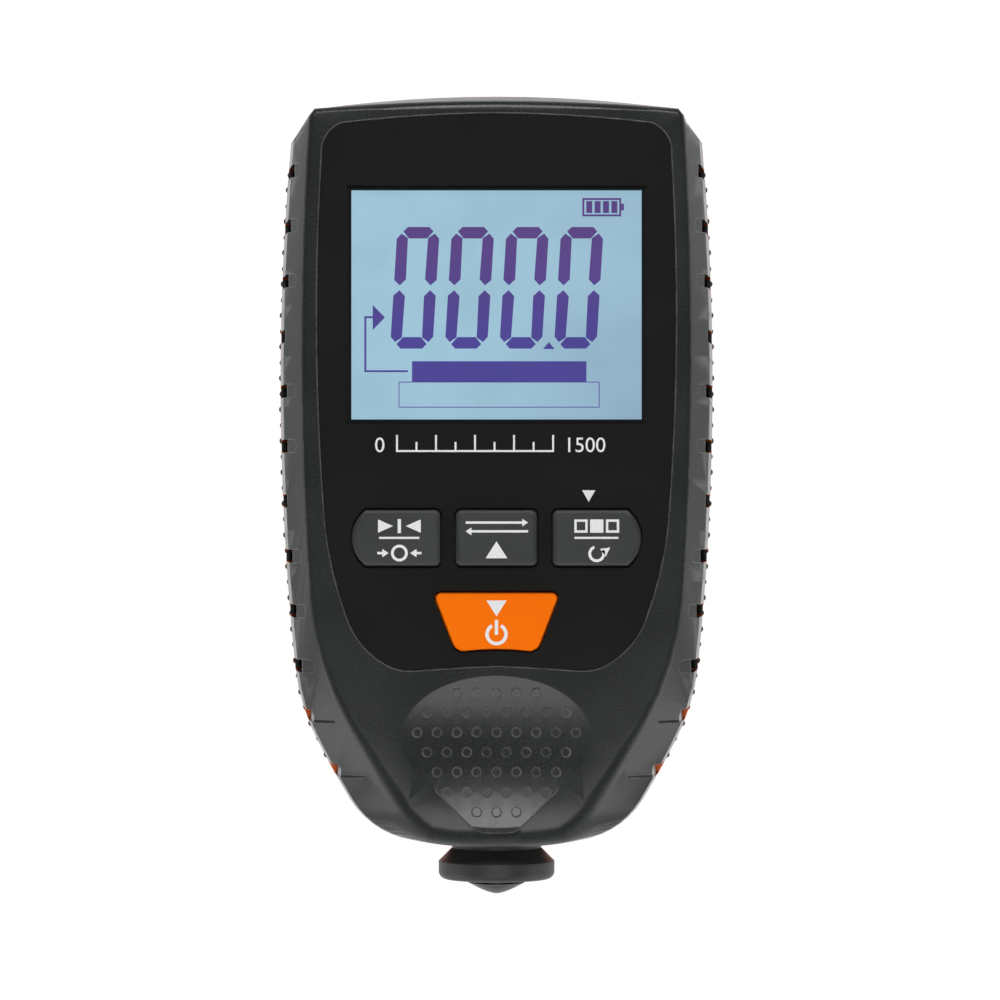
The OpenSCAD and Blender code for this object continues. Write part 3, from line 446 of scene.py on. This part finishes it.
rings_per_m = 42000.0
turned_steel, start, place = new_finish("turned_steel")
tip_low, tip_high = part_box("probe_tip")
centre = (tip_low[2] + tip_high[2]) / 2
parts = {name: start.node("SeparateXYZ", {}, {0: place}, out=name) for name in "XZ"}
radius = start.math("SQRT", parts["X"] * parts["X"] + (parts["Z"] - centre) * (parts["Z"] - centre))
ring_marks = start.math("SINE", radius * rings_per_m)
scratch = start.noise(place, 0.5e-3, 4.0)
bump = start.node("Bump", {}, {"Strength": 0.35, "Distance": 0.003e-3, "Height": ring_marks + scratch * 2.0})
start.surface(
    Base_Color=scratch.ramp(0.35, 0.7).blend(seen(41, 43, 41), seen(33, 35, 33)),
    Roughness=0.3 + scratch * 0.14,
    Metallic=1.0,
    Normal=bump,
)
smooth_copy("probe_tip", "probe", turned_steel)
collar_plastic = moulded("collar_plastic", seen(44, 46, 45), seen(60, 62, 61), 0.45, shine=0.25)
smooth_copy("probe_collar", "probe", collar_plastic, 30)
dress("probe_guide", moulded("guide_acetal", seen(30, 31, 32), seen(58, 59, 60), 0.36))
dress("coil_former", moulded("former_phenolic", seen(150, 108, 66), seen(178, 138, 92), 0.5))
dress("probe_core", metal("soft_iron", seen(132, 130, 128), seen(96, 92, 88), 0.42, 0.3e-3, (1.0, 0.2, 1.0)))
ring_steel = metal("ring_steel", seen(160, 162, 164), seen(116, 118, 120), 0.32, 0.3e-3)
dress("retaining_ring", ring_steel)
spring_wire = metal("spring_wire", seen(150, 152, 154), seen(110, 112, 114), 0.3, 0.3e-3, (0.3, 1.0, 0.3))
round_wire = 65
low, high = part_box("probe_spring")
spring_ends = (0, low[1], centre), (0, high[1], centre)
smooth_copy("probe_spring", ("probe", "case", *spring_ends), spring_wire, round_wire)

turns_per_m = 31400.0
winding_finish, start, place = new_finish("enamelled_copper")
winding_relief_and_shade = start.math("SINE", start.node("SeparateXYZ", {}, {0: place}, out="Y") * turns_per_m)
bump = start.node("Bump", {}, {"Strength": 0.8, "Distance": 0.06e-3, "Height": winding_relief_and_shade})
start.surface(
    # Painted shade and highlight: the ripple that raises each turn also paints it dark in the grooves between
    # turns and light on its crest.
    Base_Color=winding_relief_and_shade.ramp(-1.0, 1.0).blend(seen(112, 52, 26), seen(206, 118, 66)),
    Roughness=0.26 + start.noise(place, 0.6e-3) * 0.12,
    Metallic=0.9,
    Coat_Weight=0.4,
    Normal=bump,
)
dress("coil_winding", winding_finish)
lead_finish, start, place = new_finish("lead_sleeve")
rub = start.noise(place, 0.8e-3, 3.0)
start.surface(
    Base_Color=rub.ramp(0.3, 0.7).blend(seen(170, 26, 22), seen(196, 48, 40)),
    Roughness=0.4 + rub * 0.15,
)
low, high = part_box("probe_lead")
board_bend = 1.2e-3
lead_ends = (0, low[1], centre), (0, high[1] - board_bend, centre)
smooth_copy("probe_lead", ("probe", "case", *lead_ends), lead_finish, round_wire)


# Front cover: the charcoal half of the housing, with bevelled, notched sides and a scooped thumb rest full of
# pips. It is injection moulded in ABS like the rear case, a little smoother, and its edges and creases are
# painted light grey as a painted highlight.

cover_tones = seen(34, 36, 36), seen(50, 52, 52)
# Painted highlight: this light grey is painted on every edge and crease of the cover.
painted_edge_highlight = seen(146, 148, 147)
cover_plastic = moulded(
    "cover_plastic", *cover_tones, 0.27, grain=0.3e-3, edge=0.2e-3, shine=0.24, edge_highlight=painted_edge_highlight
)
panel_sink = 0.1e-3
border_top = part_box("front_panel")[1][2] + panel_sink
rest_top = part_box("front_cover")[1][2]
rest_hw = 13.7e-3
rest_low = -44e-3
rest_high = -25.7e-3


def thumb_rim(corner):
    """Whether a corner of the cover lies on the level rim of the thumb rest."""
    level = min(abs(corner.z - border_top), abs(corner.z - rest_top)) < touching
    beside = abs(corner.x) < rest_hw and corner.y < rest_high
    return level and beside and (corner.y > rest_low or corner.z > border_top)


row_pitch = 2.5e-3
cover_rows = [row_pitch * row for row in range(-5, 24)]
smooth_copy("front_cover", "case", cover_plastic, crisp=thumb_rim, rows=cover_rows)


# Face panel: a near-black hard-coated sheet let into the front cover and held by adhesive film. Its white scale
# is screen printed on the front in two passes, so that the ink stands just proud of the sheet.

panel_finish, start, place = new_finish("hard_coated_sheet")
dust = start.noise(place, 0.35e-3, 2.0).ramp(0.7, 0.85)
haze = start.noise(place, 22e-3, 4.0)
start.surface(
    Base_Color=(haze.ramp(0.3, 0.7) * 0.5 + dust * 0.3).blend(seen(24, 25, 24), seen(29, 30, 29)),
    Roughness=0.16 + haze * 0.06 + dust * 0.06,
    IOR=1.4,
)
dress("front_panel", panel_finish)

ink_finish, start, place = new_finish("white_ink")
specks = start.noise(place, 0.12e-3, 2.0)
start.surface(
    Base_Color=specks.ramp(0.3, 0.75).blend(seen(236, 237, 236), seen(214, 216, 216)),
    Roughness=0.5 + specks * 0.15,
)
panel_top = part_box("front_panel")[1][2]
scale_left = -14.36
scale_right = 8.22
scale_low = 6.13
scale_line = 0.27
long_tick = 8.56
short_tick = 7.56
ticks = [bar(scale_left, scale_right, scale_low, scale_low + scale_line)]
for tick in range(9):
    x = scale_left + tick * (scale_right - scale_line - scale_left) / 8
    ticks.append(bar(x, x + scale_line, scale_low + scale_line, short_tick if tick % 2 else long_tick))
key_pointer = [(12.24, 0.66), (13.18, -1.0), (14.12, 0.66)]
ticks.append(key_pointer)
figure_h = 2.1
figure_share = 0.7


def number(words, x, align):
    """Plain figures at one end of the scale, as a mesh. They take up a share of the letter size."""
    bpy.ops.object.select_all(action="DESELECT")
    bpy.ops.object.text_add(location=(x * 1e-3, scale_low * 1e-3, panel_top))
    figures = bpy.context.object
    figures.data.body = words
    figures.data.size = figure_h * 1e-3 / figure_share
    figures.data.align_x = align
    figures.data.extrude = print_depth / 2
    bpy.ops.object.convert(target="MESH")
    bpy.ops.transform.translate(value=(0, 0, print_depth / 2))
    bpy.ops.object.transform_apply(location=True, rotation=False, scale=False)
    return bpy.context.object


ends = [number("0", -15.93, "RIGHT"), number("1500", 9.64, "LEFT")]
printed("panel_scale", ticks, panel_top, "case", ink_finish, ends)


# Lens: a clear acrylic window that fills the panel's opening, die cut and hard coated. A black border printed on
# its back hides the ledge that carries it.

lens_finish, start, place = new_finish("clear_acrylic")
film = start.noise(place, 9e-3, 4.0)
start.surface(
    Base_Color=film.blend(seen(40, 42, 44), seen(62, 66, 70)),
    Roughness=0.06 + film * 0.05,
    Alpha=0.04 + film.ramp(0.35, 0.75) * 0.04,
    IOR=1.49,
)
dress("display_lens", lens_finish)
lens_low, lens_high = (1e3 * Vector(corner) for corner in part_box("display_lens"))
border_finish, start, place = new_finish("border_ink")
start.surface(
    Base_Color=start.noise(place, 0.3e-3).blend(seen(8, 8, 8), seen(13, 14, 13)),
    Roughness=0.45 + start.noise(place, 3e-3) * 0.15,
    Specular_IOR_Level=0.1,
)
inset = 0.05
border_line = 0.6
border = hollow_bar(
    lens_low[0] + inset, lens_high[0] - inset, lens_low[1] + inset, lens_high[1] - inset, border_line
)
printed("lens_border", border, lens_low[2] * 1e-3, "case", border_finish)


# Keys: three grey caps and an orange power key, moulded in silicone-coated ABS with rounded rims. Each stands in
# its own opening on a switch plunger, with a white mark printed on its top.

def key_cap(name, material):
    """A key's smooth copy, its top lowered by the thickness of the ink that it carries."""
    cap = smooth_copy(name + "_key", name + "_button", material, crease=30)
    top = max(corner.co.z for corner in cap.data.vertices)
    bpy.ops.object.mode_set(mode="EDIT")
    bpy.ops.mesh.select_mode(type="VERT")
    bpy.ops.mesh.select_all(action="DESELECT")
    bpy.ops.object.mode_set(mode="OBJECT")
    for corner in cap.data.vertices:
        corner.select = corner.co.z > top - touching
    bpy.ops.object.mode_set(mode="EDIT")
    bpy.ops.transform.translate(value=(0, 0, -print_depth))
    bpy.ops.object.mode_set(mode="OBJECT")
    return top - print_depth


def arc(x, y, outer, inner, first, last, steps=28):
    """The outline of a ring's stretch between two angles in degrees."""
    angles = [math.radians(first + (last - first) * step / steps) for step in range(steps + 1)]
    rim = [(x + outer * math.cos(a), y + outer * math.sin(a)) for a in angles]
    return rim + [(x + inner * math.cos(a), y + inner * math.sin(a)) for a in reversed(angles)]


def arrow(tail, head, y, thick, wing):
    """A level arrow from one place to another: its shaft and its head."""
    back = 1.5 * wing
    neck = head + (back if head < tail else -back)
    shaft = bar(min(tail, neck), max(tail, neck), y - thick / 2, y + thick / 2)
    return [shaft, [(neck, y - wing), (neck, y + wing), (head, y)]]


key_skin = {"grain": 0.25e-3, "edge": 0.3e-3}
key_plastic = moulded("key_plastic", seen(34, 36, 37), seen(56, 58, 59), 0.45, shine=0.4, **key_skin)
power_plastic = moulded("power_plastic", seen(244, 107, 1), seen(252, 122, 6), 0.6, shine=0.05, **key_skin)

zero_top = key_cap("zero", key_plastic)
zero_marks = [
    [(-16.9, -3.5), (-16.9, -5.4), (-14.75, -4.45)],
    bar(-14.1, -13.62, -5.45, -3.45),
    [(-10.8, -3.5), (-12.95, -4.45), (-10.8, -5.4)],
    bar(-16.75, -11.0, -6.28, -5.98),
    arc(-13.85, -8.3, 1.2, 0.8, 0, 360, 40),
    *arrow(-17.0, -15.4, -8.3, 0.36, 0.6),
    *arrow(-10.7, -12.3, -8.3, 0.36, 0.6),
]
printed("zero_mark", zero_marks, zero_top, "zero_button", ink_finish)

unit_top = key_cap("unit", key_plastic)
unit_marks = [
    *arrow(-4.4, 4.5, -3.95, 0.34, 0.55),
    *arrow(4.5, -4.4, -5.2, 0.34, 0.55),
    [(-1.55, -9.04), (1.55, -9.04), (0, -6.62)],
]
printed("unit_mark", unit_marks, unit_top, "unit_button", ink_finish)

mode_top = key_cap("mode", key_plastic)
mode_marks = [
    *hollow_bar(11.1, 13.0, -5.4, -3.5, 0.34),
    bar(13.35, 15.25, -5.4, -3.5),
    *hollow_bar(15.6, 17.5, -5.4, -3.5, 0.34),
    bar(11.12, 17.4, -6.28, -5.98),
    arc(14.3, -8.4, 1.2, 0.8, 110, 390),
    [(14.75, -7.7), (16.2, -7.5), (15.6, -8.8)],
]
printed("mode_mark", mode_marks, mode_top, "mode_button", ink_finish)

power_top = key_cap("power", power_plastic)
power_marks = [
    [(-1.45, -15.06), (0, -17.33), (1.45, -15.06)],
    arc(0, -19.87, 1.6, 1.1, 118, 422),
    bar(-0.24, 0.24, -19.95, -17.84),
]
printed("power_mark", power_marks, power_top, "power_button", ink_finish)


# Battery door and case screws: a grey moulded door slides out of the back towards the top end, and four
# self-tapping steel screws with cross drives, in deep counterbores, hold the two halves of the case together.

door_plastic = moulded("door_plastic", seen(58, 60, 60), seen(86, 88, 88), 0.5)
smooth_copy("battery_door", "door", door_plastic)
screw_crease = 30
case_screws = smooth_copy("case_screws", "case", screw_steel, screw_crease)
shafts = [[], [], [], []]
for vertex in case_screws.data.vertices:
    shafts[2 * (vertex.co.x > 0) + (vertex.co.y > 0)].append(vertex.co.copy())
drive_l = 2.7e-3
drive_w = 0.65e-3
drive_d = 1.1e-3
for along, across in ((drive_l, drive_w), (drive_w, drive_l)):
    bpy.ops.object.select_all(action="DESELECT")
    arms = []
    for shaft in shafts:
        spans = [[corner[axis] for corner in shaft] for axis in (0, 1)]
        mid = [(min(span) + max(span)) / 2 for span in spans]
        head = min(corner.z for corner in shaft)
        bpy.ops.mesh.primitive_cube_add(size=1.0, location=(*mid, head), scale=(along, across, 2 * drive_d))
        arms.append(bpy.context.object)
    for arm in arms:
        arm.select_set(True)
    bpy.ops.object.join()
    cutter = bpy.context.object
    bpy.ops.object.transform_apply(location=True, rotation=True, scale=True)
    cut = case_screws.modifiers.new("drive", "BOOLEAN")
    cut.operation = "DIFFERENCE"
    cut.solver = "EXACT"
    cut.object = cutter
    bpy.ops.object.select_all(action="DESELECT")
    case_screws.select_set(True)
    bpy.context.view_layer.objects.active = case_screws
    bpy.ops.object.modifier_apply(modifier=cut.name)
    bpy.data.objects.remove(cutter)
bpy.ops.mesh.customdata_custom_splitnormals_clear()
bpy.ops.object.shade_smooth_by_angle(angle=math.radians(screw_crease))


# Table and light: the gauge lies on its back on a lit white table, under a high soft light, a small one near the
# probe and a low strip on each side. It is seen from straight above with a long lens.

bpy.ops.object.select_all(action="DESELECT")
bpy.ops.mesh.primitive_plane_add(size=4.0)
table = bpy.context.object
table.name = "table"
table_finish, start, place = new_finish("white_table")
mottle = start.noise(place, 0.2, 3.0)
start.surface(
    Base_Color=mottle.ramp(0.3, 0.7).blend(seen(140, 140, 140), seen(137, 138, 138)),
    Roughness=0.7 + mottle * 0.1,
    Emission_Color=(1.0, 1.0, 1.0, 1.0),
    Emission_Strength=0.85,
)
table.data.materials.append(table_finish)

scene = bpy.context.scene
scene.view_settings.view_transform = "Standard"
world = bpy.data.worlds.new("studio")
world.use_nodes = True
world.node_tree.nodes.clear()
room = Shade(world.node_tree)
up = room.node("SeparateXYZ", {}, {0: room.node("TexCoord", out="Generated")}, out="Z")
daylight = up.ramp(0.05, 0.65, 1.3, 0.07)
walls = room.node("Background", {}, {"Color": (1.0, 1.0, 1.0, 1.0), "Strength": daylight})
room.node("OutputWorld", {}, {"Surface": walls})
scene.world = world


def softbox(name, place, width, height, power):
    """A rectangular light at that place, turned to the gauge."""
    bpy.ops.object.light_add(type="AREA", location=place)
    lamp = bpy.context.object
    lamp.name = name
    lamp.rotation_euler = (-Vector(place)).to_track_quat("-Z", "Y").to_euler()
    lamp.data.shape = "RECTANGLE"
    lamp.data.size = width
    lamp.data.size_y = height
    lamp.data.energy = power


softbox("far_light", (0.0, 1.01, 1.9), 0.68, 0.4, 19.0)
softbox("near_light", (0.0, -0.21, 0.43), 0.3, 0.15, 0.8)
softbox("left_strip", (-0.85, -0.5, 0.13), 0.4, 0.25, 1.2)
softbox("right_strip", (0.85, -0.5, 0.13), 0.4, 0.25, 1.2)

eye = (0.0005, -0.00073, 0.643)
bpy.ops.object.camera_add(location=eye, rotation=(0.0, 0.0, 0.0))
camera = bpy.context.object
camera.data.sensor_width = 36.0
camera.data.lens = 155.2
scene.camera = camera
